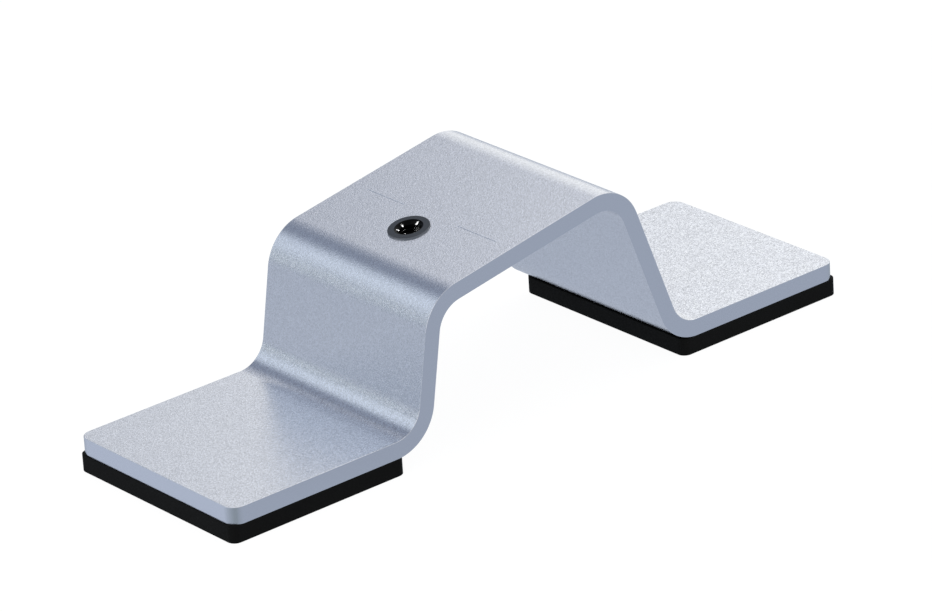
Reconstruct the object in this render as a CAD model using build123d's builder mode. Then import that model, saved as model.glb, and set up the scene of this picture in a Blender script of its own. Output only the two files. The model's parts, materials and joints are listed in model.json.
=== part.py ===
from build123d import *

import os
from math import cos, radians, sin, tan

# Solar rail support: a flat bar folded into a low hat with two feet, a rubber pad under each foot
# and a flanged, threaded insert riveted into the tilted roof. All sizes are in millimetres.
# The origin is on the ground, below the middle of the whole support. +X runs along the support
# towards the foot on the high side, +Y across the bar and +Z up.

# Flat bar
bar_width = 80.0
bar_thickness = 6.0
inside_bend_radius = 10.5
foot_corner_radius = 4.5
edge_rounding = 0.15

# Fold line in the middle of the bar's thickness, measured between its sharp corners
left_foot_length = 77.5
left_web_rise = 44.4
roof_length = 80.4
right_foot_length = 72.6

# Angles in degrees: the webs lean inwards from upright, and the roof climbs towards +X
left_web_lean = 10.0
right_web_lean = 20.0
roof_tilt = 10.0

# Rubber pads
pad_thickness = 6.0
pad_length = 70.0
pad_overhang = 0.5
pad_corner_radius = 3.0
pad_edge_rounding = 0.15

# Threaded insert, set in the middle of the bar's width
insert_from_low_corner = 24.2
flange_diameter = 14.2
flange_height = 0.6
flange_rounding = 0.45
mouth_diameter = 9.0
thread_core_diameter = 6.8
barrel_diameter = 11.0
barrel_clearance = 0.05
crimp_diameter = 14.4
crimp_seat_width = 0.9
crimp_height = 3.6
crimp_belly_share = 0.45
shank_length = 6.4
shank_chamfer = 0.5

# Scribed alignment marks, one on each side of the insert and a little further up the roof
mark_from_insert = 9.5
mark_length = 17.0
mark_edge_distance = 9.0
mark_width = 0.3
mark_depth = 0.15

# The fold line's corners, from the left foot's end to the right foot's end
foot_middle_height = pad_thickness + bar_thickness / 2
left_web_run = left_web_rise * tan(radians(left_web_lean))
roof_run = roof_length * cos(radians(roof_tilt))
roof_rise = roof_length * sin(radians(roof_tilt))
right_web_run = (left_web_rise + roof_rise) * tan(radians(right_web_lean))
bar_reach = left_foot_length + left_web_run + roof_run + right_web_run + right_foot_length

right_end = bar_reach / 2
left_end = -right_end
left_web_foot = (left_end + left_foot_length, foot_middle_height)
roof_low_corner = (left_web_foot[0] + left_web_run, foot_middle_height + left_web_rise)
roof_high_corner = (roof_low_corner[0] + roof_run, roof_low_corner[1] + roof_rise)
right_web_foot = (right_end - right_foot_length, foot_middle_height)
fold_corners = [
    (left_end, foot_middle_height),
    left_web_foot,
    roof_low_corner,
    roof_high_corner,
    right_web_foot,
    (right_end, foot_middle_height),
]

# The insert's seat: its origin is on the roof's upper face, its x direction climbs the roof and
# its z direction is the roof's normal
up_the_roof = Vector(cos(radians(roof_tilt)), 0, sin(radians(roof_tilt)))
roof_normal = Vector(-sin(radians(roof_tilt)), 0, cos(radians(roof_tilt)))
low_corner_point = Vector(roof_low_corner[0], 0, roof_low_corner[1])
seat_centre = (
    low_corner_point
    + up_the_roof * insert_from_low_corner
    + roof_normal * (bar_thickness / 2)
)
insert_seat = Plane(origin=seat_centre, x_dir=up_the_roof, z_dir=roof_normal)

# Bracket: the folded bar with rounded foot corners and edges, the insert's hole and the marks
with BuildPart() as bracket:
    with BuildSketch(Plane.XZ) as side_profile:
        with BuildLine() as fold_line:
            FilletPolyline(*fold_corners, radius=inside_bend_radius + bar_thickness / 2)
        trace(line_width=bar_thickness)
    extrude(amount=bar_width / 2, both=True)
    fillet(bracket.edges().filter_by(Axis.Z), radius=foot_corner_radius)

    crosswise = bracket.edges().filter_by(Axis.Y)
    end_edges = crosswise.group_by(Axis.X)[0] + crosswise.group_by(Axis.X)[-1]
    upright = bracket.edges().filter_by(Axis.Z)
    rim = bracket.edges() - crosswise - upright + end_edges
    fillet(rim, radius=edge_rounding)

    with BuildSketch(insert_seat) as insert_hole:
        Circle(barrel_diameter / 2)
    extrude(amount=-bar_thickness, mode=Mode.SUBTRACT)

    with BuildSketch(insert_seat) as marks:
        mark_middle = bar_width / 2 - mark_edge_distance - mark_length / 2
        with Locations((mark_from_insert, mark_middle), (mark_from_insert, -mark_middle)):
            Rectangle(mark_width, mark_length)
    extrude(amount=-mark_depth, mode=Mode.SUBTRACT)

# Rubber pads: flush with the bar's sides, just proud of the feet's ends and reaching back under
# the bends
pad_middle = right_end + pad_overhang - pad_length / 2
pads = {}
for pad_name, pad_place in (("left_pad", -pad_middle), ("right_pad", pad_middle)):
    with BuildPart() as pad:
        with BuildSketch(Plane.XY) as pad_outline:
            with Locations((pad_place, 0)):
                RectangleRounded(pad_length, bar_width, pad_corner_radius)
        extrude(amount=pad_thickness)
        pad_rims = pad.faces().filter_by(Axis.Z).edges()
        fillet(pad_rims, radius=pad_edge_rounding)
    pads[pad_name] = pad

# Threaded insert: a turned flange and barrel, with the bulge that riveting pressed out below the
# roof. Its half section is drawn with x as the radius and y as the height above the roof's face.
flange_radius = flange_diameter / 2
mouth_radius = mouth_diameter / 2
core_radius = thread_core_diameter / 2
barrel_radius = barrel_diameter / 2 - barrel_clearance
crimp_radius = crimp_diameter / 2
crimp_seat_radius = barrel_radius + crimp_seat_width
crimp_top = -bar_thickness
crimp_bottom = crimp_top - crimp_height
crimp_belly = crimp_top - crimp_height * crimp_belly_share
shank_end = crimp_bottom - shank_length
half_section = Plane(origin=seat_centre, x_dir=up_the_roof, z_dir=(0, -1, 0))

with BuildPart() as threaded_insert:
    with BuildSketch(half_section) as insert_section:
        with BuildLine() as insert_outline:
            Polyline(
                (core_radius, shank_end),
                (core_radius, flange_height - (mouth_radius - core_radius)),
                (mouth_radius, flange_height),
                (flange_radius - flange_rounding, flange_height),
            )
            RadiusArc(
                (flange_radius - flange_rounding, flange_height),
                (flange_radius, flange_height - flange_rounding),
                flange_rounding,
            )
            Polyline(
                (flange_radius, flange_height - flange_rounding),
                (flange_radius, 0),
                (barrel_radius, 0),
                (barrel_radius, crimp_top),
                (crimp_seat_radius, crimp_top),
            )
            ThreePointArc(
                (crimp_seat_radius, crimp_top),
                (crimp_radius, crimp_belly),
                (barrel_radius, crimp_bottom),
            )
            Polyline(
                (barrel_radius, crimp_bottom),
                (barrel_radius, shank_end + shank_chamfer),
                (barrel_radius - shank_chamfer, shank_end),
                (core_radius, shank_end),
            )
        make_face()
    revolve(axis=Axis(seat_centre, roof_normal))

bracket.part.label = "bracket"
threaded_insert.part.label = "threaded_insert"

os.makedirs("parts", exist_ok=True)
export_step(bracket.part, "parts/bracket.step")
export_step(threaded_insert.part, "parts/threaded_insert.step")
for pad_name, pad in pads.items():
    pad.part.label = pad_name
    export_step(pad.part, f"parts/{pad_name}.step")
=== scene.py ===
"""Looks of the solar rail support: a folded bar, two rubber pads and a threaded insert.

Sizes are in metres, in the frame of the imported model: +X runs along the support towards the foot
on the high side of the roof, +Y across the bar and +Z up. The origin is on the ground.
"""

import json
import logging
from dataclasses import dataclass, field
from enum import Enum
from math import atan2, cos, pi, radians, sin, tan

import bmesh
import bpy
from mathutils import Matrix, Vector


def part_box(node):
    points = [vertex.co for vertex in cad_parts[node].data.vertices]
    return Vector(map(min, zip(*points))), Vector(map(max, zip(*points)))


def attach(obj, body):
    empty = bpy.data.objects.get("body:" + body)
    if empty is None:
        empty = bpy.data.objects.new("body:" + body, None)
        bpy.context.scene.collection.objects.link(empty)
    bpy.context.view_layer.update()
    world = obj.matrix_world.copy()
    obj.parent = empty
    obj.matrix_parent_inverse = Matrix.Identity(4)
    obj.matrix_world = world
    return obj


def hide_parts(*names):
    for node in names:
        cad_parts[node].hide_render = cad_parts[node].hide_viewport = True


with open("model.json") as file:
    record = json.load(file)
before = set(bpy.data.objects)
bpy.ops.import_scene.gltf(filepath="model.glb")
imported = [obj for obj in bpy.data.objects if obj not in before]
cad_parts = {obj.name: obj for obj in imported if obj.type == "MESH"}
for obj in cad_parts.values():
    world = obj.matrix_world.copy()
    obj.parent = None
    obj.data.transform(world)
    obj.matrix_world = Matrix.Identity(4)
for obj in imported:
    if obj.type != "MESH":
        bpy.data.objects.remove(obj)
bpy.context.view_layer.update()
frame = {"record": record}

MM = 0.001
BODY = "root"

# An edge between faces that turn by more than this angle stays sharp.
STEEP = radians(35)
# A face of the bar is level when its tilt and its height both reach this share of the full value.
LEVEL = 0.99
# A point this close to a height lies on it.
TOUCH = 1e-7
# The mark for cut faces has this value on the bar's ends, 1 on its long sides and 0 elsewhere.
ON_END = 0.5

Socket = bpy.types.NodeSocket
Sockets = bpy.types.bpy_prop_collection
Value = Socket | float | int | tuple | Vector
Point = tuple[float, float]
Range = tuple[float, float]
Colour = tuple[float, float, float]

UNIT: Range = (0.0, 1.0)
WHITE: Colour = (1.0, 1.0, 1.0)

log = logging.getLogger("solar_rail_support")


class Slot(Enum):
    """Material slots of the record."""

    METAL = "bracket_metal"
    RUBBER = "pad_rubber"
    INSERT = "insert_black"


class Foot(Enum):
    """The two feet, named by the node of the pad below each."""

    LEFT = "left_pad"
    RIGHT = "right_pad"


class Mark(Enum):
    """Point attributes that the meshes carry, for the materials and the geometry trees to read."""

    ALONG = "along_bar"
    CUT = "cut_face"
    # How much painted sparkle of light the grain's flecks get.
    COARSE = "coarse_grain"
    # Painted shade in the scribed grooves, 1 where they are deepest.
    SCRIBED_SHADE = "scribed_line"
    BORE = "bore_wall"
    # The plating's polish; where it is negative, painted light on the flange's edge.
    POLISH_AND_EDGE_LIGHT = "polish"


class Polish(Enum):
    """How the plating looks at a point, with the value that its mark has there."""

    # Painted light on the flange's outer edge and side.
    EDGE_LIGHT = -1.0
    MATTE = 0.0
    POLISHED = 1.0


class Kind(Enum):
    """Kinds of socket that the node groups have."""

    NUMBER = "NodeSocketFloat"
    VECTOR = "NodeSocketVector"
    SHAPE = "NodeSocketGeometry"
    FINISH = "NodeSocketMaterial"


def divide(whole: float, parts: int) -> list[float]:
    """Divides a length or an angle from zero into equal parts, and gives all their ends."""
    return [whole * part / parts for part in range(parts + 1)]


def clip(value: float) -> float:
    """Keeps a number between 0 and 1."""
    return min(max(value, 0.0), 1.0)


class Graph:
    """Short calls for building a node tree.

    Attributes:
        tree: The node tree that the calls add to.
    """

    def __init__(self, tree: bpy.types.NodeTree) -> None:
        """Takes a node tree and empties it."""
        self.tree = tree
        tree.nodes.clear()

    def add(self, kind: str, **settings: object) -> bpy.types.Node:
        """Adds a node.

        Args:
            kind: The node's type.
            **settings: Values for the node's own properties.

        Returns:
            The new node.
        """
        node = self.tree.nodes.new(kind)
        for name, value in settings.items():
            setattr(node, name, value)
        return node

    def feed(self, target: Socket, source: Value) -> None:
        """Links a socket to another, or sets its value.

        Args:
            target: The input socket.
            source: An output socket or a plain value. A colour has three numbers.
        """
        if isinstance(source, Socket):
            self.tree.links.new(source, target)
        else:
            target.default_value = (*source, 1.0) if target.type == "RGBA" else source

    def run(self, kind: str, inputs: dict[str, Value], **settings: object) -> bpy.types.Node:
        """Adds a node and feeds its inputs by name.

        Args:
            kind: The node's type.
            inputs: A source for each named input.
            **settings: Values for the node's own properties.

        Returns:
            The new node.
        """
        node = self.add(kind, **settings)
        for name, source in inputs.items():
            self.feed(node.inputs[name], source)
        return node

    def get(self, kind: str, inputs: dict[str, Value], **settings: object) -> Socket:
        """Adds a node, feeds its inputs by name and gives its first output."""
        return self.run(kind, inputs, **settings).outputs[0]

    def apply(self, node: bpy.types.Node, *values: Value) -> Socket:
        """Feeds the inputs that a node uses in its present mode.

        Args:
            node: The node.
            *values: A source for each of those inputs, in their order.

        Returns:
            The node's output in that mode.
        """
        used = [target for target in node.inputs if target.enabled]
        for target, source in zip(used, values):
            self.feed(target, source)
        return next(output for output in node.outputs if output.enabled)

    def math(self, operation: str, *values: Value) -> Socket:
        """Works a number out from others."""
        return self.apply(self.add("ShaderNodeMath", operation=operation), *values)

    def vector(self, operation: str, *values: Value) -> Socket:
        """Works a vector or a number out from vectors."""
        return self.apply(self.add("ShaderNodeVectorMath", operation=operation), *values)

    def clamp(self, value: Value, highest: Value = 1.0) -> Socket:
        """Keeps a value between zero and a highest one."""
        return self.math("MINIMUM", self.math("MAXIMUM", value, 0.0), highest)

    def ramp(self, value: Value, source: Range, result: Range = UNIT, smooth: bool = False) -> Socket:
        """Maps a value from one range to another, and clamps it.

        Args:
            value: The value to map.
            source: The range that the value covers.
            result: The range to map it to.
            smooth: Whether the ends of the range are eased.

        Returns:
            The mapped value.
        """
        style = "SMOOTHSTEP" if smooth else "LINEAR"
        node = self.add("ShaderNodeMapRange", interpolation_type=style, clamp=not smooth)
        return self.apply(node, value, *source, *result)

    def blend(self, share: Value, first: Value, second: Value) -> Socket:
        """Mixes two colours, with the second one's share from 0 to 1."""
        return self.apply(self.add("ShaderNodeMix", data_type="RGBA"), share, first, second)

    def switch(self, ray: Socket, others: Socket, shown: Socket) -> Socket:
        """Shows the last shader to one kind of ray, and the other one to the rest."""
        return self.apply(self.add("ShaderNodeMixShader"), ray, others, shown)

    def attribute(self, mark: Mark) -> Socket:
        """Reads one of the mesh's own attributes in a material."""
        return self.add("ShaderNodeAttribute", attribute_name=mark.value).outputs["Fac"]

    def stored(self, mark: Mark) -> Socket:
        """Reads one of the mesh's own attributes in a geometry tree."""
        return self.get("GeometryNodeInputNamedAttribute", {"Name": mark.value}, data_type="FLOAT")


def new_tree(name: str, kind: str, inputs: dict[str, Kind | float], outputs: dict[str, Kind]) -> Graph:
    """Starts a node group with named sockets.

    Args:
        name: The group's name.
        kind: The tree's type.
        inputs: The kind of each named input, or the default of one that takes a number.
        outputs: The kind of each named output.

    Returns:
        The graph of the new group.
    """
    tree = bpy.data.node_groups.new(name, kind)
    sockets = [(label, "INPUT", given) for label, given in inputs.items()]
    sockets += [(label, "OUTPUT", given) for label, given in outputs.items()]
    for label, side, given in sockets:
        socket_kind = given if isinstance(given, Kind) else Kind.NUMBER
        item = tree.interface.new_socket(name=label, in_out=side, socket_type=socket_kind.value)
        if socket_kind is not given:
            item.default_value = given
    return Graph(tree)


def start_form(name: str, inputs: dict[str, Kind | float]) -> tuple[Graph, Sockets, tuple[Socket, ...]]:
    """Starts a geometry tree that changes one shape.

    Args:
        name: The tree's name.
        inputs: The kind or the default of each named input beside the shape itself.

    Returns:
        The tree's graph, its inputs, and the X, Y and Z of each point.
    """
    shape = {"Geometry": Kind.SHAPE}
    graph = new_tree(name, "GeometryNodeTree", {**shape, **inputs}, shape)
    given = graph.add("NodeGroupInput").outputs
    place = graph.get("GeometryNodeInputPosition", {})
    return graph, given, tuple(graph.run("ShaderNodeSeparateXYZ", {"Vector": place}).outputs)


def end_form(graph: Graph, shape: Socket) -> bpy.types.NodeTree:
    """Puts a geometry tree's shape out, and gives the finished tree."""
    graph.feed(graph.add("NodeGroupOutput").inputs[0], shape)
    return graph.tree


def dress_form(graph: Graph, shape: Socket, finish: Socket, **place: Value) -> bpy.types.NodeTree:
    """Ends a geometry tree whose shape is moved to its place and gets its finish.

    Args:
        graph: The tree's graph.
        shape: The shape so far.
        finish: The material.
        **place: Sources for the inputs of the move.

    Returns:
        The finished tree.
    """
    shape = graph.get("GeometryNodeTransform", {"Geometry": shape, **place})
    shape = graph.get("GeometryNodeRealizeInstances", {"Geometry": shape})
    return end_form(graph, graph.get("GeometryNodeSetMaterial", {"Geometry": shape, "Material": finish}))


def finish_mesh(shape: bmesh.types.BMesh, name: str) -> bpy.types.Mesh:
    """Turns a bmesh into a mesh that is smooth apart from its steep edges.

    Args:
        shape: The finished shape. It is freed.
        name: The mesh's name.

    Returns:
        The mesh.
    """
    for face in shape.faces:
        face.smooth = True
    for edge in shape.edges:
        edge.smooth = edge.calc_face_angle(0.0) < STEEP
    mesh = bpy.data.meshes.new(name)
    shape.to_mesh(mesh)
    shape.free()
    return mesh


def add_object(name: str, data: bpy.types.ID) -> bpy.types.Object:
    """Adds an object to the scene.

    Args:
        name: The object's name.
        data: Its mesh, lamp or camera.

    Returns:
        The object.
    """
    item = bpy.data.objects.new(name, data)
    bpy.context.scene.collection.objects.link(item)
    return item


def add_tree(piece: bpy.types.Object, tree: bpy.types.NodeTree, values: dict[str, object]) -> None:
    """Puts a geometry tree on a piece.

    Args:
        piece: The object whose mesh goes into the tree.
        tree: The geometry tree.
        values: A value for each named input of the tree.
    """
    modifier = piece.modifiers.new("form", "NODES")
    modifier.node_group = tree
    sockets = [item for item in tree.interface.items_tree if item.in_out == "INPUT"]
    identifiers = {item.name: item.identifier for item in sockets}
    for name, value in values.items():
        modifier[identifiers[name]] = value


def bake_mesh(piece: bpy.types.Object) -> None:
    """Shades a piece so that its flats stay flat, and turns it into a plain mesh.

    Args:
        piece: The piece, with the modifiers that give it its form.
    """
    shading = piece.modifiers.new("flat_faces", "WEIGHTED_NORMAL")
    shading.keep_sharp = True
    depsgraph = bpy.context.evaluated_depsgraph_get()
    finished = piece.evaluated_get(depsgraph)
    mesh = bpy.data.meshes.new_from_object(finished, preserve_all_data_layers=True, depsgraph=depsgraph)
    piece.modifiers.clear()
    piece.data = mesh
    mesh.name = piece.name


@dataclass
class RoundedPlate:
    """A flat plate with rounded corners and rounded rims, built lying along +X.

    Attributes:
        length: The plate's length.
        width: The plate's width.
        thickness: The plate's thickness.
        corner_radius: The radius of its four corners in plan.
        rim_radius: The rounding of the rims above and below.
        stations: Distances along the plate at which its faces are divided.
        columns: The number of faces across the plate.
        corner_steps: The number of faces round a corner.
        rim_steps: The number of faces round a rim.
    """

    length: float
    width: float
    thickness: float
    corner_radius: float
    rim_radius: float
    stations: list[float]
    columns: int = 8
    corner_steps: int = 16
    rim_steps: int = 4

    def lower_side(self, inset: float) -> list[Point]:
        """Gives the outline's half on the -Y side, from the left end to the right end.

        Args:
            inset: How far the outline is moved inwards.

        Returns:
            Points in plan.
        """
        reach = self.corner_radius - inset
        side = self.corner_radius - self.width / 2
        turns = divide(pi / 2, self.corner_steps)
        left = [(self.corner_radius - reach * cos(turn), side - reach * sin(turn)) for turn in turns]
        right = [(self.length - x, y) for x, y in reversed(left)]
        return left + [(x, side - reach) for x in self.stations] + right

    def ring(self, inset: float) -> list[Point]:
        """Gives the whole outline, counterclockwise.

        Args:
            inset: How far the outline is moved inwards.

        Returns:
            Points in plan.
        """
        lower = self.lower_side(inset)
        upper = [(x, -y) for x, y in reversed(lower)]
        shares = divide(1.0, self.columns)[1:-1]
        end_y = lower[0][1]
        right_end = [(lower[-1][0], end_y - 2 * end_y * share) for share in shares]
        left_end = [(lower[0][0], -end_y + 2 * end_y * share) for share in shares]
        return lower + right_end + upper + left_end

    def levels(self) -> list[Point]:
        """Works out the rings that the plate's side is made of.

        Returns:
            The inset and the height of each ring, from the lower face to the upper one.
        """
        half = self.thickness / 2
        turns = divide(pi / 2, self.rim_steps)
        insets = [self.rim_radius * (1 - sin(turn)) for turn in turns]
        heights = [half - self.rim_radius * (1 - cos(turn)) for turn in turns]
        rim = list(zip(insets, heights))
        return [(inset, -height) for inset, height in rim] + rim[::-1]

    def mesh(self) -> bmesh.types.BMesh:
        """Builds the closed plate.

        Returns:
            The mesh, with its middle height at zero.
        """
        shape = bmesh.new()
        rings = []
        for inset, height in self.levels():
            rings.append([shape.verts.new((x, y, height)) for x, y in self.ring(inset)])
        count = len(rings[0])
        for below, above in zip(rings, rings[1:]):
            for i in range(count):
                j = (i + 1) % count
                shape.faces.new((below[i], below[j], above[j], above[i]))
        self.fill(shape, rings[-1], upwards=True)
        self.fill(shape, rings[0], upwards=False)
        shape.normal_update()
        return shape

    def fill(self, shape: bmesh.types.BMesh, ring: list[bmesh.types.BMVert], upwards: bool) -> None:
        """Fills one face of the plate with rows of quads.

        Args:
            shape: The mesh to add to.
            ring: The vertices of the face's outline.
            upwards: Whether the face looks up.
        """
        pairs = len(self.lower_side(0.0))
        steps = self.columns
        lower = ring[:pairs]
        right_end = ring[pairs:pairs + steps - 1]
        upper = ring[pairs + steps - 1:2 * pairs + steps - 1][::-1]
        left_end = ring[2 * pairs + steps - 1:][::-1]
        shares = divide(1.0, steps)[1:-1]
        rows = []
        for i, (start, stop) in enumerate(zip(lower, upper)):
            inner = left_end if i == 0 else right_end if i == pairs - 1 else None
            if inner is None:
                inner = [shape.verts.new(start.co.lerp(stop.co, share)) for share in shares]
            rows.append([start, *inner, stop])
        for row, following in zip(rows, rows[1:]):
            for j in range(steps):
                corners = (row[j], following[j], following[j + 1], row[j + 1])
                shape.faces.new(corners if upwards else corners[::-1])


@dataclass
class Bend:
    """One fold of the bar.

    Attributes:
        start: The distance along the flat bar at which the bend begins.
        angle: The turn in radians, positive where the bar turns upwards.
        length: The length of the bar that the bend takes up.
    """

    start: float
    angle: float
    length: float


def bend_group() -> bpy.types.NodeTree:
    """Builds the geometry group that folds everything beyond one line by one angle.

    Returns:
        The node group.
    """
    inputs = {"Along": 0.0, "Start": 0.0, "Angle": 0.0, "Radius": 1.0}
    graph, given, (x, y, z) = start_form("bend_once", inputs)
    radius = graph.math("MULTIPLY", given["Radius"], graph.math("SIGN", given["Angle"]))
    reach = graph.math("MULTIPLY", radius, given["Angle"])
    bent = graph.clamp(graph.math("SUBTRACT", given["Along"], given["Start"]), reach)
    turn = graph.math("DIVIDE", bent, radius)
    sine, cosine = graph.math("SINE", turn), graph.math("COSINE", turn)
    rest = graph.math("SUBTRACT", graph.math("SUBTRACT", x, given["Start"]), bent)
    height = graph.math("SUBTRACT", z, radius)
    run = graph.math("SUBTRACT", graph.math("MULTIPLY", cosine, rest), graph.math("MULTIPLY", sine, height))
    rise = graph.math("ADD", graph.math("MULTIPLY", sine, rest), graph.math("MULTIPLY", cosine, height))
    new_x = graph.math("ADD", given["Start"], run)
    new_z = graph.math("ADD", radius, rise)
    moved = graph.get("ShaderNodeCombineXYZ", {"X": new_x, "Y": y, "Z": new_z})
    inputs = {"Geometry": given["Geometry"], "Position": moved}
    return end_form(graph, graph.get("GeometryNodeSetPosition", inputs))


def fold_tree(bends: int) -> bpy.types.NodeTree:
    """Builds the geometry tree that folds a flat bar and stands it on its feet.

    Args:
        bends: The number of bends.

    Returns:
        The node tree. It has a start and an angle for each bend.
    """
    inputs = {"Radius": 1.0, "Left end": Kind.VECTOR, "Finish": Kind.FINISH}
    for i in range(1, bends + 1):
        inputs |= {f"Start {i}": 0.0, f"Angle {i}": 0.0}
    graph, given, (along, *_) = start_form("fold_bar", inputs)
    stored = {"Geometry": given["Geometry"], "Name": Mark.ALONG.value, "Value": along}
    shape = graph.get("GeometryNodeStoreNamedAttribute", stored, data_type="FLOAT")
    kept = graph.stored(Mark.ALONG)
    group = bend_group()
    for i in range(bends, 0, -1):
        fold = {"Geometry": shape, "Along": kept, "Start": given[f"Start {i}"]}
        fold |= {"Angle": given[f"Angle {i}"], "Radius": given["Radius"]}
        shape = graph.get("GeometryNodeGroup", fold, node_tree=group)
    return dress_form(graph, shape, given["Finish"], Translation=given["Left end"])


@dataclass
class FoldedBar:
    """The flat bar, folded into two feet, two webs and a tilted roof.

    Lengths along the fold are measured in the middle of the thickness, between sharp corners.

    Attributes:
        width: The bar's width.
        thickness: The bar's thickness.
        inside_radius: The radius inside each bend.
        corner_radius: The radius of the feet's corners.
        rim_radius: The rounding of the bar's edges.
        left_foot: The left foot's length.
        web_rise: The height from the left foot to the roof's low corner.
        roof: The roof's length.
        right_foot: The right foot's length.
        left_lean: How far the left web leans from upright.
        right_lean: How far the right web leans from upright.
        tilt: How steeply the roof climbs.
        hole_place: The distance of the insert's hole from the roof's low corner.
        hole_radius: The radius of the insert's hole.
        mark_place: How far the scribed marks lie beyond the hole's middle.
        mark_length: The length of a scribed mark.
        mark_edge: The distance of a mark from the bar's side.
        mark_width: The width of a mark.
        mark_depth: The depth of a mark.
        mark_fade: The share of a mark's length over which each end thins out.
        mark_steps: The number of faces along a mark.
        panel_margin: How far the stretch with the hole and the marks reaches past a mark.
        sparkle_by_flat: How strong the painted sparkle in the grain's flecks is on each flat, from the left
            foot to the right one.
        bend_steps: The number of faces round a bend.
        hole_steps: The number of faces round the hole.
        end_rows: The number of rows of faces at the outer end of each foot.
        end_row: The length of such a row.
    """

    width: float = 80.0 * MM
    thickness: float = 6.0 * MM
    inside_radius: float = 10.5 * MM
    corner_radius: float = 4.5 * MM
    rim_radius: float = 0.15 * MM
    left_foot: float = 77.5 * MM
    web_rise: float = 44.4 * MM
    roof: float = 80.4 * MM
    right_foot: float = 72.6 * MM
    left_lean: float = radians(10)
    right_lean: float = radians(20)
    tilt: float = radians(10)
    hole_place: float = 24.2 * MM
    hole_radius: float = 5.5 * MM
    mark_place: float = 9.5 * MM
    mark_length: float = 20.0 * MM
    mark_edge: float = 7.2 * MM
    mark_width: float = 0.3 * MM
    mark_depth: float = 0.15 * MM
    mark_fade: float = 0.04
    mark_steps: int = 20
    panel_margin: float = 2.5 * MM
    sparkle_by_flat: tuple[float, ...] = (0.32, 0.0, 0.12, 0.0, 1.0)
    bend_steps: int = 40
    hole_steps: int = 72
    end_rows: int = 4
    end_row: float = 12.0 * MM

    @property
    def middle_radius(self) -> float:
        """The bends' radius in the middle of the thickness."""
        return self.inside_radius + self.thickness / 2

    def corner_cut(self, angle: float) -> float:
        """Gives how far before its sharp corner a bend begins."""
        return self.middle_radius * tan(abs(angle) / 2)

    def bends(self) -> list[Bend]:
        """Works out the four bends along the flat bar.

        Returns:
            The bends, from the left foot to the right one.
        """
        left_web = self.web_rise / cos(self.left_lean)
        drop = self.web_rise + self.roof * sin(self.tilt)
        right_web = drop / cos(self.right_lean)
        upright = pi / 2
        angles = [upright - self.left_lean, self.tilt - upright + self.left_lean]
        angles += [self.right_lean - upright - self.tilt, upright - self.right_lean]
        found = []
        place = 0.0
        setback = 0.0
        for side, angle in zip((self.left_foot, left_web, self.roof, right_web), angles):
            start = place + side - setback - self.corner_cut(angle)
            found.append(Bend(start, angle, self.middle_radius * abs(angle)))
            place = start + found[-1].length
            setback = self.corner_cut(angle)
        return found

    def flat_length(self) -> float:
        """Gives the length of the bar before it is folded."""
        last = self.bends()[-1]
        return last.start + last.length + self.right_foot - self.corner_cut(last.angle)

    def hole_along(self) -> float:
        """Gives the distance of the hole's middle along the flat bar."""
        second = self.bends()[1]
        return second.start + second.length + self.hole_place - self.corner_cut(second.angle)

    def panel(self) -> Range:
        """Gives where the stretch with the hole and the marks begins and ends."""
        reach = self.mark_place + self.panel_margin
        return self.hole_along() - reach, self.hole_along() + reach

    def stations(self) -> list[float]:
        """Chooses where the flat bar is divided.

        Returns:
            The distances from its left end, in order.
        """
        places = list(self.panel())
        for bend in self.bends():
            places += [bend.start + part for part in divide(bend.length, self.bend_steps)]
        ends = [self.corner_radius + self.end_row * row for row in range(1, self.end_rows + 1)]
        places += ends + [self.flat_length() - place for place in ends]
        return sorted(places)

    def blank(self) -> bpy.types.Mesh:
        """Builds the flat bar with its hole and marks.

        Returns:
            The mesh, with the left end at x = 0 and the upper face upwards.
        """
        size = (self.flat_length(), self.width, self.thickness)
        shape = RoundedPlate(*size, self.corner_radius, self.rim_radius, self.stations()).mesh()
        self.open_panel(shape)
        half = self.thickness / 2
        upper = self.circle(shape, half)
        lower = self.circle(shape, -half)
        for i in range(self.hole_steps):
            j = (i + 1) % self.hole_steps
            shape.faces.new((lower[j], lower[i], upper[i], upper[j]))
        shape.verts.layers.float.new(Mark.SCRIBED_SHADE.value)
        for side in (-1, 1):
            self.groove(shape, side)
        for height in (half, -half):
            self.cover(shape, height)
        self.tag_cut_faces(shape)
        self.tag_sparkle(shape)
        return finish_mesh(shape, "folded_bar")

    def open_panel(self, shape: bmesh.types.BMesh) -> None:
        """Takes the two level faces away from the stretch that gets the hole and the marks.

        Args:
            shape: The plain bar.
        """
        start, stop = self.panel()
        least = LEVEL * self.thickness / 2
        inside = [face for face in shape.faces if start < face.calc_center_median().x < stop]
        outer = [face for face in inside if abs(face.calc_center_median().z) > least]
        level = [face for face in outer if abs(face.normal.z) > LEVEL]
        bmesh.ops.delete(shape, geom=level, context="FACES_ONLY")
        bare = [edge for edge in shape.edges if edge.is_wire]
        bmesh.ops.delete(shape, geom=bare, context="EDGES")

    def circle(self, shape: bmesh.types.BMesh, height: float) -> list[bmesh.types.BMVert]:
        """Adds the hole's rim at a height.

        Args:
            shape: The mesh to add to.
            height: The height.

        Returns:
            The rim's vertices, counterclockwise from above.
        """
        middle = self.hole_along()
        turns = divide(2 * pi, self.hole_steps)[:-1]
        points = [(middle + self.hole_radius * cos(turn), self.hole_radius * sin(turn)) for turn in turns]
        return [shape.verts.new((x, y, height)) for x, y in points]

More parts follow.
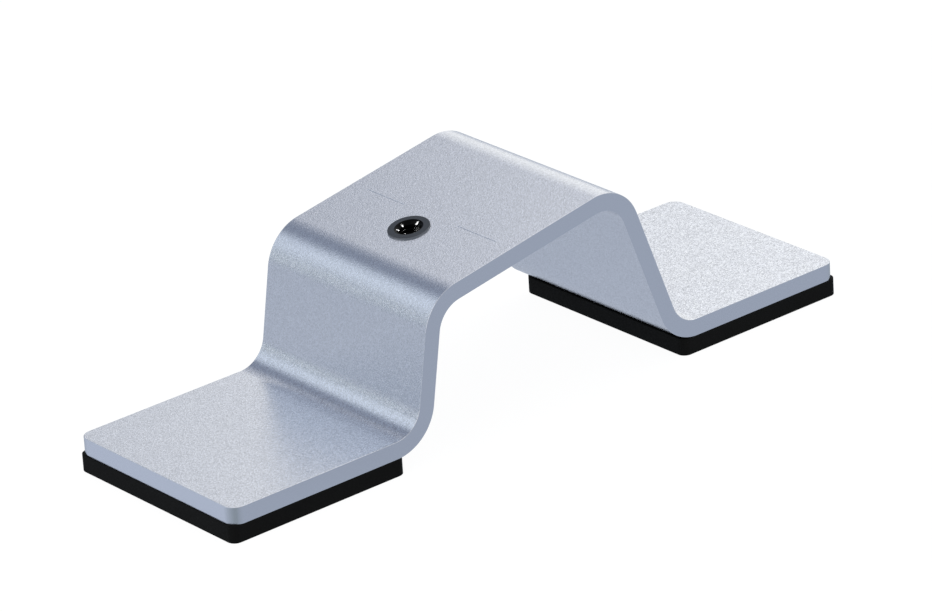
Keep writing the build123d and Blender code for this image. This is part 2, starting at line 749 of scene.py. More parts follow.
    def groove(self, shape: bmesh.types.BMesh, side: int) -> None:
        """Cuts one scribed mark, a V that thins out towards its two ends.

        Args:
            shape: The mesh to add to.
            side: Which side of the hole, -1 or 1.
        """
        outer = self.width / 2 - self.mark_edge
        near, far = sorted((side * outer, side * (outer - self.mark_length)))
        middle = self.hole_along() + self.mark_place
        top = self.thickness / 2
        # The groove's bottom carries painted shade, as strong as the groove is deep.
        shade_layer = shape.verts.layers.float.get(Mark.SCRIBED_SHADE.value)
        tips = [shape.verts.new((middle, y, top)) for y in (near, far)]
        left, right, bottom = [], [], []
        for share in divide(1.0, self.mark_steps)[1:-1]:
            depth = min(1.0, share / self.mark_fade, (1 - share) / self.mark_fade)
            y = near + (far - near) * share
            left.append(shape.verts.new((middle - self.mark_width / 2 * depth, y, top)))
            right.append(shape.verts.new((middle + self.mark_width / 2 * depth, y, top)))
            bottom.append(shape.verts.new((middle, y, top - self.mark_depth * depth)))
            bottom[-1][shade_layer] = depth
        floor = [tips[0], *bottom, tips[1]]
        for bank in (left, right):
            whole = [tips[0], *bank, tips[1]]
            for i in range(self.mark_steps):
                corners = list(dict.fromkeys([whole[i], whole[i + 1], floor[i + 1], floor[i]]))
                shape.faces.new(corners if bank is right else corners[::-1])

    def cover(self, shape: bmesh.types.BMesh, height: float) -> None:
        """Fills one level face of the opened stretch, round the hole and the marks.

        Args:
            shape: The mesh to add to.
            height: The height of the face.
        """
        edges = [edge for edge in shape.edges if edge.is_boundary]
        edges = [edge for edge in edges if all(abs(vert.co.z - height) < TOUCH for vert in edge.verts)]
        outwards = Vector((0, 0, 1 if height > 0 else -1))
        filled = bmesh.ops.triangle_fill(shape, use_beauty=True, edges=edges, normal=outwards)
        for face in [item for item in filled["geom"] if isinstance(item, bmesh.types.BMFace)]:
            face.normal_update()
            if face.normal.dot(outwards) < 0:
                face.normal_flip()

    def tag_cut_faces(self, shape: bmesh.types.BMesh) -> None:
        """Marks the bar's long sides and its ends apart from its two blasted faces.

        Args:
            shape: The flat bar.
        """
        layer = shape.verts.layers.float.new(Mark.CUT.value)
        inner = (self.thickness - self.rim_radius) / 2
        for vert in shape.verts:
            round_corner = clip((abs(vert.co.y) - self.width / 2) / self.corner_radius + 1.0)
            cut = ON_END + (1.0 - ON_END) * round_corner
            vert[layer] = 0.0 if abs(vert.co.z) > inner else cut

    def tag_sparkle(self, shape: bmesh.types.BMesh) -> None:
        """Marks how strong the painted sparkle in the grain's flecks is, which changes from flat to flat
        over each bend.

        Args:
            shape: The flat bar.
        """
        layer = shape.verts.layers.float.new(Mark.COARSE.value)
        bends = self.bends()
        for vert in shape.verts:
            flat_sparkle = self.sparkle_by_flat[0]
            for bend, following in zip(bends, self.sparkle_by_flat[1:]):
                flat_sparkle += (following - flat_sparkle) * clip((vert.co.x - bend.start) / bend.length)
            vert[layer] = flat_sparkle

    def build(self, finish: bpy.types.Material) -> bpy.types.Object:
        """Folds the bar and dresses it.

        Args:
            finish: The bar's material.

        Returns:
            The finished piece.
        """
        piece = add_object("folded_bar", self.blank())
        bends = self.bends()
        low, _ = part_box("bracket")
        values = {"Radius": self.middle_radius, "Finish": finish}
        values["Left end"] = (low.x, 0.0, low.z + self.thickness / 2)
        for i, bend in enumerate(bends, 1):
            values |= {f"Start {i}": bend.start, f"Angle {i}": bend.angle}
        add_tree(piece, fold_tree(len(bends)), values)
        bake_mesh(piece)
        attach(piece, BODY)
        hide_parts("bracket")
        return piece


@dataclass
class RubberPad:
    """A rubber pad below one foot.

    Attributes:
        foot: The foot that it lies below.
        corner_radius: The radius of its corners.
        rim_radius: The rounding of its rims.
        rows: The number of rows of faces along it.
    """

    foot: Foot
    corner_radius: float = 3.0 * MM
    rim_radius: float = 0.15 * MM
    rows: int = 8

    def build(self, finish: bpy.types.Material) -> bpy.types.Object:
        """Builds the pad where its solid lies.

        Args:
            finish: The pad's material.

        Returns:
            The finished piece.
        """
        low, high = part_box(self.foot.value)
        size = high - low
        stations = divide(size.x, self.rows)[1:-1]
        shape = RoundedPlate(size.x, size.y, size.z, self.corner_radius, self.rim_radius, stations).mesh()
        place = (low.x, (low.y + high.y) / 2, (low.z + high.z) / 2)
        bmesh.ops.translate(shape, vec=place, verts=shape.verts)
        mesh = finish_mesh(shape, "rubber_" + self.foot.value)
        mesh.materials.append(finish)
        piece = add_object(mesh.name, mesh)
        bake_mesh(piece)
        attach(piece, BODY)
        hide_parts(self.foot.value)
        return piece


def thread_tree() -> bpy.types.NodeTree:
    """Builds the geometry tree that cuts a thread into a bore's wall and seats the insert.

    Returns:
        The node tree.
    """
    inputs = {"Seat": Kind.VECTOR, "Turn": Kind.VECTOR, "Finish": Kind.FINISH, "Pitch": 1.0, "Depth": 0.0}
    inputs |= {"Crest": 0.0, "Root": 1.0, "Top": 0.0, "Bottom": 0.0, "Run-out": 1.0}
    graph, given, (x, y, z) = start_form("cut_thread", inputs)
    round_share = graph.math("DIVIDE", graph.math("ARCTAN2", y, x), 2 * pi)
    pitches = graph.math("DIVIDE", z, given["Pitch"])
    phase = graph.math("FRACT", graph.math("SUBTRACT", pitches, round_share))
    peak = graph.math("PINGPONG", graph.math("MULTIPLY", phase, 2.0), 1.0)
    flank = graph.math("SUBTRACT", given["Root"], given["Crest"])
    profile = graph.clamp(graph.math("DIVIDE", graph.math("SUBTRACT", peak, given["Crest"]), flank))
    from_top = graph.math("DIVIDE", graph.math("SUBTRACT", given["Top"], z), given["Pitch"])
    from_bottom = graph.math("DIVIDE", graph.math("SUBTRACT", z, given["Bottom"]), given["Pitch"])
    nearest = graph.math("MINIMUM", from_top, from_bottom)
    fade = graph.clamp(graph.math("MULTIPLY", nearest, given["Run-out"]))
    full_depth = graph.math("MULTIPLY", given["Depth"], profile)
    depth = graph.math("MULTIPLY", full_depth, graph.math("MULTIPLY", fade, graph.stored(Mark.BORE)))
    flat = graph.get("ShaderNodeCombineXYZ", {"X": x, "Y": y, "Z": 0.0})
    shift = graph.vector("SCALE", graph.vector("NORMALIZE", flat), depth)
    shape = graph.get("GeometryNodeSetPosition", {"Geometry": given["Geometry"], "Offset": shift})
    return dress_form(graph, shape, given["Finish"], Translation=given["Seat"], Rotation=given["Turn"])


@dataclass
class ThreadedInsert:
    """The turned insert, riveted into the roof's hole.

    Heights are measured along its axis from the roof's upper face.

    Attributes:
        flange_radius: The radius of the flange.
        flange_height: How far the flange stands proud of the roof.
        flange_rounding: The rounding of the flange's upper edge.
        rounding_steps: The number of faces round that edge.
        matte_points: How many of that edge's points, from the top, keep the matte flange's colour; the rest
            get painted light.
        mouth_radius: The radius of the countersunk mouth.
        lip: How far the rounding of the mouth's edge reaches over the flange.
        lip_steps: The number of faces round the mouth's edge.
        lip_fade: The width over which its polish fades into the matte flange.
        core_radius: The radius of the thread's crests.
        thread_radius: The radius of the thread's roots.
        pitch: The thread's pitch.
        crest: The share of half a pitch at which a flank leaves the crest.
        root: The share of half a pitch at which it reaches the root.
        run_out: How many times its full depth the thread would gain over one pitch from each end.
        bore_fade: The width at the bore's lower edge over which its polish fades.
        barrel_radius: The radius of the barrel in the hole and of the shank.
        roof_thickness: The thickness of the bar.
        crimp_radius: The radius of the riveted bulge.
        crimp_seat: The width of the bulge's flat seat against the roof.
        crimp_height: The height of the bulge.
        crimp_belly: Where the bulge is widest, as a share of its height.
        crimp_rows: The number of faces down the bulge.
        shank_length: The length of the shank below the bulge.
        shank_chamfer: The chamfer of the shank's end.
        steps: The number of faces round the insert.
        rows_a_pitch: The number of faces along one pitch of the thread.
    """

    flange_radius: float = 7.1 * MM
    flange_height: float = 0.6 * MM
    flange_rounding: float = 0.25 * MM
    rounding_steps: int = 5
    matte_points: int = 4
    mouth_radius: float = 4.5 * MM
    lip: float = 0.35 * MM
    lip_steps: int = 4
    lip_fade: float = 0.02 * MM
    core_radius: float = 3.4 * MM
    thread_radius: float = 4.0 * MM
    pitch: float = 1.25 * MM
    crest: float = 0.25
    root: float = 0.875
    run_out: float = 1.5
    bore_fade: float = 0.3 * MM
    barrel_radius: float = 5.45 * MM
    roof_thickness: float = 6.0 * MM
    crimp_radius: float = 7.2 * MM
    crimp_seat: float = 0.9 * MM
    crimp_height: float = 3.6 * MM
    crimp_belly: float = 0.45
    crimp_rows: int = 16
    shank_length: float = 6.4 * MM
    shank_chamfer: float = 0.5 * MM
    steps: int = 96
    rows_a_pitch: int = 12

    @property
    def thread_top(self) -> float:
        """The height at which the countersink meets the thread."""
        return self.flange_height - (self.mouth_radius - self.core_radius)

    @property
    def shank_end(self) -> float:
        """The height of the shank's lower end."""
        return -self.roof_thickness - self.crimp_height - self.shank_length

    def seat(self) -> tuple[Vector, Vector]:
        """Finds the insert's place on the roof from the record's mounts.

        Returns:
            The middle of the seat on the roof's face, and the axis.
        """
        mounts = {mount["name"]: mount for mount in frame["record"]["mounts"]}
        axis = Vector(mounts["rail_bolt"]["axis"]).normalized()
        bore = Vector(mounts["rail_bolt"]["pos_m"])
        on_flange = Vector(mounts["rail_seat"]["pos_m"])
        return bore + axis * ((on_flange - bore).dot(axis) - self.flange_height), axis

    def mouth(self) -> list[Point]:
        """Draws the countersunk mouth, from the thread up to the flange, with its edge rounded.

        Returns:
            Radii and heights.
        """
        slope = pi / 4
        radius = self.lip / tan(slope / 2)
        edge = self.mouth_radius + self.lip
        points = [(self.core_radius, self.thread_top)]
        for turn in reversed(divide(slope, self.lip_steps)):
            points.append((edge - radius * sin(turn), self.flange_height - radius * (1 - cos(turn))))
        return points

    def bulge(self) -> list[Point]:
        """Draws the riveted bulge, one arc from its seat down to the shank.

        Returns:
            Radii and heights.
        """
        top = -self.roof_thickness
        start = Vector((self.barrel_radius + self.crimp_seat, top))
        belly = Vector((self.crimp_radius, top - self.crimp_height * self.crimp_belly)) - start
        end = Vector((self.barrel_radius, top - self.crimp_height)) - start
        area = 2 * (belly.x * end.y - belly.y * end.x)
        across = (end.y * belly.dot(belly) - belly.y * end.dot(end)) / area
        down = (belly.x * end.dot(end) - end.x * belly.dot(belly)) / area
        reach = Vector((across, down)).length
        first, last = atan2(-down, -across), atan2(end.y - down, end.x - across)
        turns = [first + part for part in divide(last - first, self.crimp_rows)]
        return [(start.x + across + reach * cos(turn), start.y + down + reach * sin(turn)) for turn in turns]

    def profile(self) -> list[tuple[float, float, bool, Polish]]:
        """Draws the insert's half section, closed, with the bore's wall last.

        Returns:
            The radius and height of each point, whether it is on the bore's wall, and its polish, with
            painted light on the flange's edge.
        """
        bow = self.flange_rounding
        edge, shoulder = self.flange_radius - bow, self.flange_height - bow
        turns = divide(pi / 2, self.rounding_steps)
        rounding = [(edge + bow * sin(turn), shoulder + bow * cos(turn)) for turn in turns]
        inner = self.mouth_radius + self.lip + self.lip_fade
        flange = [(inner, self.flange_height), *rounding[:self.matte_points]]
        # The rest of the edge and the side below it get painted light.
        rim = [*rounding[self.matte_points:], (self.flange_radius, 0.0)]
        end = self.shank_end
        barrel = self.barrel_radius
        below = [(barrel, 0.0), (barrel, -self.roof_thickness), *self.bulge()]
        below += [(barrel, end + self.shank_chamfer), (barrel - self.shank_chamfer, end)]
        below += [(self.core_radius + self.bore_fade, end)]
        rows = round((self.thread_top - end) / self.pitch * self.rows_a_pitch)
        wall = [(self.core_radius, end + rise) for rise in divide(self.thread_top - end, rows)[:-1]]
        stretches = ((self.mouth(), False, Polish.POLISHED), (flange, False, Polish.MATTE),
                     (rim, False, Polish.EDGE_LIGHT), (below, False, Polish.MATTE),
                     (wall, True, Polish.POLISHED))
        return [(*point, in_bore, look) for points, in_bore, look in stretches for point in points]

    def turned(self) -> bpy.types.Mesh:
        """Turns the half section round the axis.

        Returns:
            The mesh, with its axis along +Z.
        """
        shape = bmesh.new()
        bore = shape.verts.layers.float.new(Mark.BORE.value)
        polish = shape.verts.layers.float.new(Mark.POLISH_AND_EDGE_LIGHT.value)
        rings = []
        for radius, height, in_bore, look in self.profile():
            ring = []
            for turn in divide(2 * pi, self.steps)[:-1]:
                vert = shape.verts.new((radius * cos(turn), radius * sin(turn), height))
                vert[bore] = float(in_bore)
                vert[polish] = look.value
                ring.append(vert)
            rings.append(ring)
        for ring, following in zip(rings, rings[1:] + rings[:1]):
            for i in range(self.steps):
                j = (i + 1) % self.steps
                shape.faces.new((ring[i], following[i], following[j], ring[j]))
        shape.normal_update()
        return finish_mesh(shape, "turned_insert")

    def build(self, finish: bpy.types.Material) -> bpy.types.Object:
        """Turns the insert, cuts its thread and seats it in the roof.

        Args:
            finish: The insert's material.

        Returns:
            The finished piece.
        """
        piece = add_object("turned_insert", self.turned())
        seat, axis = self.seat()
        turn = Vector((0, 0, 1)).rotation_difference(axis).to_euler()
        values = {"Seat": tuple(seat), "Turn": tuple(turn), "Finish": finish, "Pitch": self.pitch}
        values |= {"Depth": self.thread_radius - self.core_radius, "Crest": self.crest, "Root": self.root}
        values |= {"Top": self.thread_top, "Bottom": self.shank_end, "Run-out": self.run_out}
        add_tree(piece, thread_tree(), values)
        bake_mesh(piece)
        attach(piece, BODY)
        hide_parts("threaded_insert")
        return piece


def grain_group() -> bpy.types.NodeTree:
    """Builds the shader group for fine grain, which each finish uses at its own scale.

    Returns:
        The node group. It puts out a height, and a speckle from 0 to 1.
    """
    outputs = {"Height": Kind.NUMBER, "Speckle": Kind.NUMBER}
    graph = new_tree("fine_grain", "ShaderNodeTree", {"Scale": 2000.0, "Roundness": 0.5}, outputs)
    given = graph.add("NodeGroupInput").outputs
    place = graph.add("ShaderNodeTexCoord").outputs["Object"]
    noise = graph.get("ShaderNodeTexNoise", {"Vector": place, "Scale": given["Scale"], "Detail": 2.0})
    dents = graph.run("ShaderNodeTexVoronoi", {"Vector": place, "Scale": given["Scale"]}).outputs
    dent = graph.math("MULTIPLY", dents["Distance"], given["Roundness"])
    speckle = graph.get("ShaderNodeSeparateColor", {"Color": dents["Color"]})
    graph.run("NodeGroupOutput", {"Height": graph.math("ADD", noise, dent), "Speckle": speckle})
    return graph.tree


def cloud_group() -> bpy.types.NodeTree:
    """Builds the shader group for soft, wide unevenness.

    Returns:
        The node group. It puts out a value from 0 to 1.
    """
    clear, dense = 0.3, 0.7
    graph = new_tree("soft_clouds", "ShaderNodeTree", {"Scale": 40.0}, {"Cloud": Kind.NUMBER})
    given = graph.add("NodeGroupInput").outputs
    place = graph.add("ShaderNodeTexCoord").outputs["Object"]
    noise = graph.get("ShaderNodeTexNoise", {"Vector": place, "Scale": given["Scale"], "Detail": 3.0})
    graph.run("NodeGroupOutput", {"Cloud": graph.ramp(noise, (clear, dense))})
    return graph.tree


@dataclass(frozen=True)
class Finish:
    """What the three finishes share.

    Attributes:
        name: The material's name.
        colour: The base colour, linear.
        deep_colour: The base colour where the surface is uneven, linear.
        roughness: The roughness.
        rough_spread: How far the roughness varies up and down.
        grain_scale: Grains in a metre.
        grain_depth: The height of the grain.
        grain_strength: How strongly the grain tilts the surface.
        roundness: How much of the grain is round dents.
        cloud_scale: Clouds in a metre.
    """

    name: str
    colour: Colour
    deep_colour: Colour
    roughness: float
    rough_spread: float
    grain_scale: float
    grain_depth: float
    grain_strength: float
    roundness: float
    cloud_scale: float

    @property
    def rough_range(self) -> Range:
        """The lowest and the highest roughness."""
        return self.roughness - self.rough_spread, self.roughness + self.rough_spread

    def start(self) -> tuple[Graph, bpy.types.Node, bpy.types.Node, Socket]:
        """Starts the material with its shader, its grain and its clouds.

        Returns:
            The graph, the shader node, the grain group's node and the cloud value.
        """
        material = bpy.data.materials.new(self.name)
        material.use_nodes = True
        graph = Graph(material.node_tree)
        shader = graph.add("ShaderNodeBsdfPrincipled")
        graph.run("ShaderNodeOutputMaterial", {"Surface": shader.outputs[0]})
        shared = bpy.data.node_groups
        grain_tree = shared.get("fine_grain") or grain_group()
        cloud_tree = shared.get("soft_clouds") or cloud_group()
        inputs = {"Scale": self.grain_scale, "Roundness": self.roundness}
        grain = graph.run("ShaderNodeGroup", inputs, node_tree=grain_tree)
        cloud = graph.get("ShaderNodeGroup", {"Scale": self.cloud_scale}, node_tree=cloud_tree)
        return graph, shader, grain, cloud

    def mottle(self, graph: Graph, cloud: Socket) -> Socket:
        """Mixes the base colour, deeper where the clouds are."""
        return graph.blend(cloud, self.colour, self.deep_colour)

    def bump(self, graph: Graph, height: Socket, strength: Value) -> Socket:
        """Gives the tilt of the surface that the grain's height causes, at a strength."""
        inputs = {"Height": height, "Distance": self.grain_depth, "Strength": strength}
        return graph.get("ShaderNodeBump", inputs)

    def end(self, graph: Graph, shader: bpy.types.Node, looks: dict[str, Value]) -> bpy.types.Material:
        """Ends the material.

        Args:
            graph: The material's graph.
            shader: The material's shader node.
            looks: A source for each named input of the shader.

        Returns:
            The material.
        """
        for name, source in looks.items():
            graph.feed(shader.inputs[name], source)
        return bpy.data.materials[self.name]


@dataclass(frozen=True)
class BlastedAluminium(Finish):
    """Aluminium with a fine bead-blasted face and smoother sawn sides.

    Attributes:
        speckle: How much single grains lighten or darken the colour where no sparkle is painted.
        sparkle_speckle: The same where the painted sparkle is strongest, which stands in for glints of light
            on the grain.
        lit_end_colour: The colour of the cut ends, linear, painted lighter as painted light on them.
        shaded_corner_colour: The colour of the filed corners between the ends and the sides, linear, darker
            as painted shade.
        shaded_corner_range: The values of the mark for cut faces over which that painted shade sets in.
        shaded_side_colour: The colour of the long cut sides, linear, darker as painted shade.
        shaded_side_range: The values of the mark for cut faces over which that painted shade sets in.
        cut_roughness: The roughness of all three.
        cut_grain: The share of the grain that shows there.
        scribed_shade_colour: The colour at the bottom of the scribed marks, linear, painted shade in the
            grooves.
    """

    speckle: float = 0.10
    sparkle_speckle: float = 0.30
    lit_end_colour: Colour = (0.81, 0.84, 0.92)
    shaded_corner_colour: Colour = (0.47, 0.51, 0.53)
    shaded_corner_range: Range = (ON_END, 0.87)
    shaded_side_colour: Colour = (0.62, 0.65, 0.715)
    shaded_side_range: Range = (0.92, 1.0)
    cut_roughness: float = 0.25
    cut_grain: float = 0.3
    scribed_shade_colour: Colour = (0.12, 0.14, 0.20)

    def material(self) -> bpy.types.Material:
        """Builds the material.

        Returns:
            The material.
        """
        graph, shader, grain, cloud = self.start()
        cut = graph.attribute(Mark.CUT)
        on_cut = graph.ramp(cut, (0.0, ON_END))
        # The flecks are the grain's own tone; where the mark is high they are stronger, as painted sparkle
        # of light.
        contrast = graph.ramp(graph.attribute(Mark.COARSE), UNIT, (self.speckle, self.sparkle_speckle))
        fleck = graph.ramp(grain.outputs["Speckle"], UNIT, (-1.0, 1.0))
        flecks = graph.math("MULTIPLY_ADD", fleck, contrast, 1.0)
        colour = graph.vector("SCALE", self.mottle(graph, cloud), flecks)
        # Painted light and shade: the cut ends are painted lighter, the filed corners and the long sides
        # darker, and the scribed grooves get painted shade.
        painted_tones = ((on_cut, self.lit_end_colour), (graph.ramp(cut, self.shaded_corner_range), self.shaded_corner_colour),
                 (graph.ramp(cut, self.shaded_side_range), self.shaded_side_colour),
                 (graph.attribute(Mark.SCRIBED_SHADE), self.scribed_shade_colour))
        for share, painted_tone in painted_tones:
            colour = graph.blend(share, colour, painted_tone)
        change = graph.math("MULTIPLY", on_cut, self.cut_roughness - self.roughness)
        rough = graph.math("ADD", graph.ramp(cloud, UNIT, self.rough_range), change)
        cut_strength = self.grain_strength * self.cut_grain
        strength = graph.ramp(cut, (0.0, ON_END), (self.grain_strength, cut_strength))
        normal = self.bump(graph, grain.outputs["Height"], strength)
        looks = {"Base Color": colour, "Metallic": 1.0, "Roughness": rough, "Normal": normal}
        return self.end(graph, shader, looks)


@dataclass(frozen=True)
class MouldedRubber(Finish):
    """Matte black rubber with a faint moulded grain.

    Attributes:
        gloss: The specular level of the rubber.
    """

    gloss: float = 0.11

    def material(self) -> bpy.types.Material:
        """Builds the material.

        Returns:
            The material.
        """
        graph, shader, grain, cloud = self.start()
        rough = graph.ramp(grain.outputs["Speckle"], UNIT, self.rough_range)
        normal = self.bump(graph, grain.outputs["Height"], self.grain_strength)
        looks = {"Base Color": self.mottle(graph, cloud), "Specular IOR Level": self.gloss}
        return self.end(graph, shader, {**looks, "Roughness": rough, "Normal": normal})


@dataclass(frozen=True)
class BlackPlating(Finish):
    """Black plated steel with a matte flange, a polished mouth, and painted light on the flange's outer
    edge.

    Attributes:
        edge_light_colour: The colour of the flange's outer edge and side, linear, lighter as painted light.
        polished_colour: The colour of the polished parts, linear.
        polished_roughness: Their roughness.
        gloss: The specular level of the plating.
    """

    edge_light_colour: Colour = (0.16, 0.175, 0.20)
    polished_colour: Colour = (0.0012, 0.0012, 0.0015)
    polished_roughness: float = 0.10
    gloss: float = 0.05

    def material(self) -> bpy.types.Material:
        """Builds the material.

        Returns:
            The material.
        """
        graph, shader, grain, cloud = self.start()
        polish = graph.attribute(Mark.POLISH_AND_EDGE_LIGHT)
        polished = graph.ramp(polish, (Polish.MATTE.value, Polish.POLISHED.value))
        # Painted light on the flange's edge, where the mark is negative.
        edge_light = graph.ramp(polish, (Polish.EDGE_LIGHT.value, Polish.MATTE.value), (1.0, 0.0))
        colour = graph.blend(edge_light, self.mottle(graph, cloud), self.edge_light_colour)
        colour = graph.blend(polished, colour, self.polished_colour)
        change = graph.math("MULTIPLY", polished, self.polished_roughness - self.roughness)
        rough = graph.math("ADD", graph.ramp(cloud, UNIT, self.rough_range), change)
        strength = graph.ramp(polished, UNIT, (self.grain_strength, 0.0))
        normal = self.bump(graph, grain.outputs["Height"], strength)
        looks = {"Base Color": colour, "Specular IOR Level": self.gloss}
        return self.end(graph, shader, {**looks, "Roughness": rough, "Normal": normal})


def direction(azimuth: float, elevation: float) -> Vector:
    """Gives the unit vector towards a place round the support.

    Args:
        azimuth: The angle round it, in degrees. 0 is on the -Y side and 90 on +X.
        elevation: The angle above the horizon, in degrees.

    Returns:
        The vector.
    """
    turn, rise = radians(azimuth), radians(elevation)
    return Vector((sin(turn) * cos(rise), -cos(turn) * cos(rise), sin(rise)))


@dataclass(frozen=True)
class GlintLamp:
    """A bright lamp, aimed at the support, that shows only as a glint on one polished piece.

    Attributes:
        name: The lamp's name.
        azimuth: Where it stands round the support, in degrees. 0 is on the -Y side and 90 on +X.
        elevation: Its height above the horizon, in degrees.
        width: Its width.
        height: Its height.
        radiance: How bright its face is, where 1 is white.
        distance: Its distance from the support.
    """

    name: str
    azimuth: float
    elevation: float
    width: float
    height: float
    radiance: float
    distance: float = 2.5

    def light(self, polished: bpy.types.Collection) -> None:
        """Sets the lamp up.

        Args:
            polished: The pieces that mirror it.
        """
        lamp = bpy.data.lights.new(self.name, "AREA")
        lamp.shape = "RECTANGLE"
        lamp.size = self.width
        lamp.size_y = self.height
        lamp.energy = self.radiance * pi * self.width * self.height
        item = add_object(self.name, lamp)
        back = direction(self.azimuth, self.elevation)
        item.location = back * self.distance
        item.rotation_euler = back.to_track_quat("Z", "Y").to_euler()
        item.visible_camera = False
        item.visible_diffuse = False
        item.light_linking.receiver_collection = polished


@dataclass(frozen=True)
class Glow:
    """A patch of the room's walls that lights the support softly, brightest in its middle.

    Attributes:
        azimuth: Where its middle is round the support, in degrees. 0 is on the -Y side and 90 on +X.
        elevation: The height of its middle above the horizon, in degrees.
        spread: The angle from its middle to its edge, in degrees.
        colour: The light in its middle, where 1 is white.
    """

    azimuth: float
    elevation: float
    spread: float
    colour: Colour

    def add_to(self, graph: Graph, towards: Socket, walls: Value) -> Socket:
        """Adds the glow to the walls' light.

        Args:
            graph: The world's graph.
            towards: The direction that the light comes from.
            walls: The light of the walls so far.

        Returns:
            The light of the walls with the glow.
        """
        angle = graph.vector("DOT_PRODUCT", towards, direction(self.azimuth, self.elevation))
        share = graph.ramp(angle, (cos(radians(self.spread)), 1.0), smooth=True)
        return graph.vector("MULTIPLY_ADD", share, self.colour, walls)


GLOWS = (
    Glow(111.0, 53.5, 40.2, (1.51, 1.45, 1.35)),
    Glow(124.7, 2.0, 40.0, (0.83, 0.80, 0.71)),
    Glow(205.3, 3.8, 17.9, (1.14, 1.33, 1.16)),
    Glow(217.0, 36.8, 21.4, (0.56, 0.60, 0.62)),
    Glow(265.4, 20.8, 40.7, (1.55, 1.60, 1.75)),
)

GLINT_LAMPS = (
    GlintLamp("right_lamp", 100.0, 21.5, 0.35, 0.35, 320.0),
    GlintLamp("front_lamp", 27.0, 52.5, 0.45, 0.45, 450.0),
    GlintLamp("left_lamp", 248.0, 31.5, 2.6, 0.22, 220.0),
)


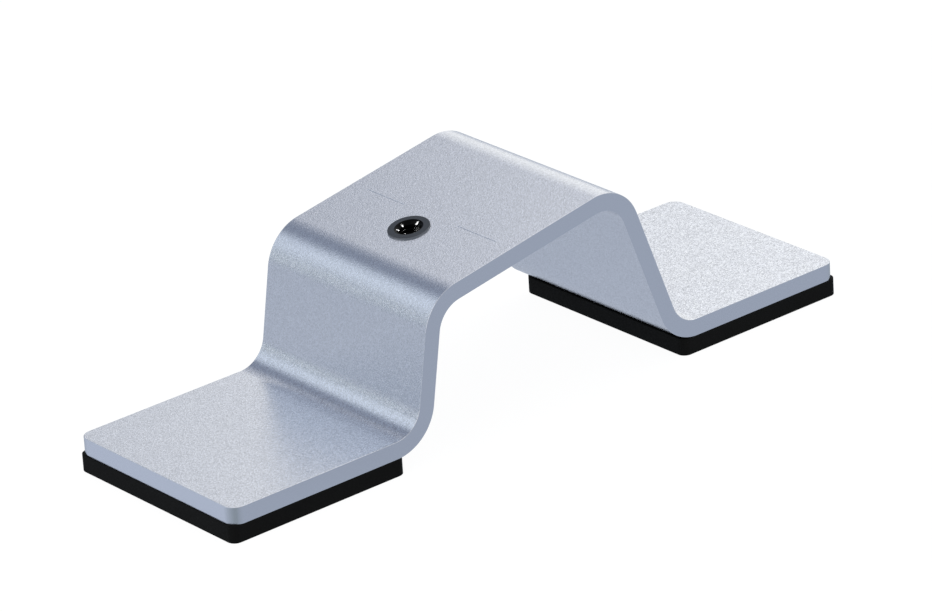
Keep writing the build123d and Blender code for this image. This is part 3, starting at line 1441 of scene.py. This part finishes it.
@dataclass
class Studio:
    """The pale floor, the softly lit room, the small lamps and the camera.

    Attributes:
        azimuth: Where the camera stands round the support, in degrees.
        elevation: Its height above the horizon, in degrees.
        roll: How far it is turned about its own axis, in degrees.
        distance: Its distance from the point in the middle of the picture.
        target: The point in the middle of the picture.
        focal_length: Its focal length in millimetres.
        sensor_width: The width of its sensor in millimetres.
        nearest: The distance from which it sees things.
        floor_size: The floor's width.
        floor_gap: How far the floor lies below the pads.
        floor_colour: The floor's colour in soft light.
        floor_shine: The colour of the floor that the metal mirrors.
        backdrop: The white of the floor itself, without the light that falls on it.
        shadow: How much of the light that falls on the floor shows, and so of the shadow in it.
        front_wall: The colour of the room on the -Y side.
        back_wall: The colour of the room on the +Y side.
        wall_blend: How far to either side of the middle the two walls' colours mix.
        brightest: The brightest that the walls get where glows overlap.
        glows: The bright patches of the walls.
        lamps: The lamps that leave bright points on the polished black.
    """

    azimuth: float = -38.927
    elevation: float = 23.852
    roll: float = -3.639
    distance: float = 1803.9 * MM
    target: Vector = field(default_factory=lambda: Vector((-0.3, -1.6, 26.95)) * MM)
    focal_length: float = 213.41
    sensor_width: float = 36.0
    nearest: float = 10.0 * MM
    floor_size: float = 8.0
    floor_gap: float = 0.05 * MM
    floor_colour: Colour = (0.8, 0.8, 0.8)
    floor_shine: Colour = (0.496, 0.541, 0.625)
    backdrop: float = 0.95
    shadow: float = 0.1
    front_wall: Colour = (0.68, 0.69, 0.71)
    back_wall: Colour = (0.245, 0.282, 0.362)
    wall_blend: float = 0.35
    brightest: Colour = (1.2, 1.2, 1.2)
    glows: tuple[Glow, ...] = GLOWS
    lamps: tuple[GlintLamp, ...] = GLINT_LAMPS

    def floor(self) -> None:
        """Lays the pale floor, which looks white to the camera and duller in the metal."""
        shape = bmesh.new()
        place = Matrix.Translation((0, 0, -self.floor_gap))
        bmesh.ops.create_grid(shape, x_segments=1, y_segments=1, size=self.floor_size / 2, matrix=place)
        floor = add_object("floor", finish_mesh(shape, "floor"))
        material = bpy.data.materials.new("pale_floor")
        material.use_nodes = True
        graph = Graph(material.node_tree)
        rays = graph.add("ShaderNodeLightPath").outputs
        matte = graph.get("ShaderNodeBsdfDiffuse", {"Color": self.floor_colour})
        shine = graph.get("ShaderNodeEmission", {"Color": self.floor_shine, "Strength": 1.0})
        white = graph.get("ShaderNodeEmission", {"Color": WHITE, "Strength": self.backdrop})
        faint = graph.get("ShaderNodeBsdfDiffuse", {"Color": (self.shadow, self.shadow, self.shadow)})
        shown = graph.apply(graph.add("ShaderNodeAddShader"), white, faint)
        others = graph.switch(rays["Is Glossy Ray"], matte, shine)
        surface = graph.switch(rays["Is Camera Ray"], others, shown)
        graph.run("ShaderNodeOutputMaterial", {"Surface": surface})
        floor.data.materials.append(material)

    def world(self) -> None:
        """Sets the soft light of the room, and the white behind the support."""
        world = bpy.data.worlds.new("studio")
        world.use_nodes = True
        graph = Graph(world.node_tree)
        seen = graph.add("ShaderNodeLightPath").outputs["Is Camera Ray"]
        towards = graph.add("ShaderNodeTexCoord").outputs["Generated"]
        back = graph.run("ShaderNodeSeparateXYZ", {"Vector": towards}).outputs["Y"]
        share = graph.ramp(back, (-self.wall_blend, self.wall_blend), smooth=True)
        walls = graph.blend(share, self.front_wall, self.back_wall)
        for glow in self.glows:
            walls = glow.add_to(graph, towards, walls)
        walls = graph.vector("MINIMUM", walls, self.brightest)
        room = graph.get("ShaderNodeBackground", {"Color": walls, "Strength": 1.0})
        white = graph.get("ShaderNodeBackground", {"Color": WHITE, "Strength": 1.0})
        graph.run("ShaderNodeOutputWorld", {"Surface": graph.switch(seen, room, white)})
        bpy.context.scene.world = world

    def camera(self) -> None:
        """Sets the camera up."""
        lens = bpy.data.cameras.new("camera")
        lens.sensor_width = self.sensor_width
        lens.lens = self.focal_length
        lens.clip_start = self.nearest
        camera = add_object("camera", lens)
        back = direction(self.azimuth, self.elevation)
        aim = back.to_track_quat("Z", "Y").to_matrix().to_4x4()
        place = Matrix.Translation(self.target + back * self.distance)
        camera.matrix_world = place @ aim @ Matrix.Rotation(radians(self.roll), 4, "Z")
        bpy.context.scene.camera = camera

    def build(self, polished: bpy.types.Object) -> None:
        """Sets the whole studio up.

        Args:
            polished: The piece that the small lamps leave glints on.
        """
        bpy.context.scene.view_settings.view_transform = "Standard"
        self.floor()
        self.world()
        self.camera()
        mirrors = bpy.data.collections.new("polished")
        mirrors.objects.link(polished)
        for lamp in self.lamps:
            lamp.light(mirrors)
        log.info("studio with %d glows and %d lamps", len(self.glows), len(self.lamps))


METAL = BlastedAluminium(
    name="blasted_aluminium",
    colour=(0.742, 0.762, 0.81),
    deep_colour=(0.732, 0.752, 0.805),
    roughness=0.22,
    rough_spread=0.01,
    grain_scale=2600.0,
    grain_depth=0.05 * MM,
    grain_strength=0.75,
    roundness=0.6,
    cloud_scale=60.0,
)

RUBBER = MouldedRubber(
    name="moulded_rubber",
    colour=(0.0035, 0.0034, 0.0029),
    deep_colour=(0.0045, 0.0044, 0.0038),
    roughness=0.7,
    rough_spread=0.08,
    grain_scale=3500.0,
    grain_depth=0.03 * MM,
    grain_strength=0.3,
    roundness=0.2,
    cloud_scale=90.0,
)

PLATING = BlackPlating(
    name="black_plating",
    colour=(0.055, 0.062, 0.075),
    deep_colour=(0.050, 0.057, 0.069),
    roughness=0.5,
    rough_spread=0.03,
    grain_scale=6000.0,
    grain_depth=0.02 * MM,
    grain_strength=0.2,
    roundness=0.3,
    cloud_scale=300.0,
)


def report(piece: bpy.types.Object) -> None:
    """Logs a finished piece with its size and its triangles.

    Args:
        piece: The finished piece.
    """
    mesh = piece.data
    mesh.calc_loop_triangles()
    size = " x ".join(f"{side / MM:.1f}" for side in piece.dimensions)
    log.info("%s: %s mm, %d triangles", piece.name, size, len(mesh.loop_triangles))


def main() -> None:
    """Builds every piece and the studio."""
    logging.basicConfig(level=logging.INFO, format="%(name)s: %(message)s")
    metal = METAL.material()
    rubber = RUBBER.material()
    plating = PLATING.material()
    pieces = [FoldedBar().build(metal)]
    pieces += [RubberPad(foot).build(rubber) for foot in Foot]
    insert = ThreadedInsert().build(plating)
    pieces.append(insert)
    bpy.context.view_layer.update()
    for piece in pieces:
        report(piece)
    Studio().build(insert)


if __name__ == "__main__":
    main()
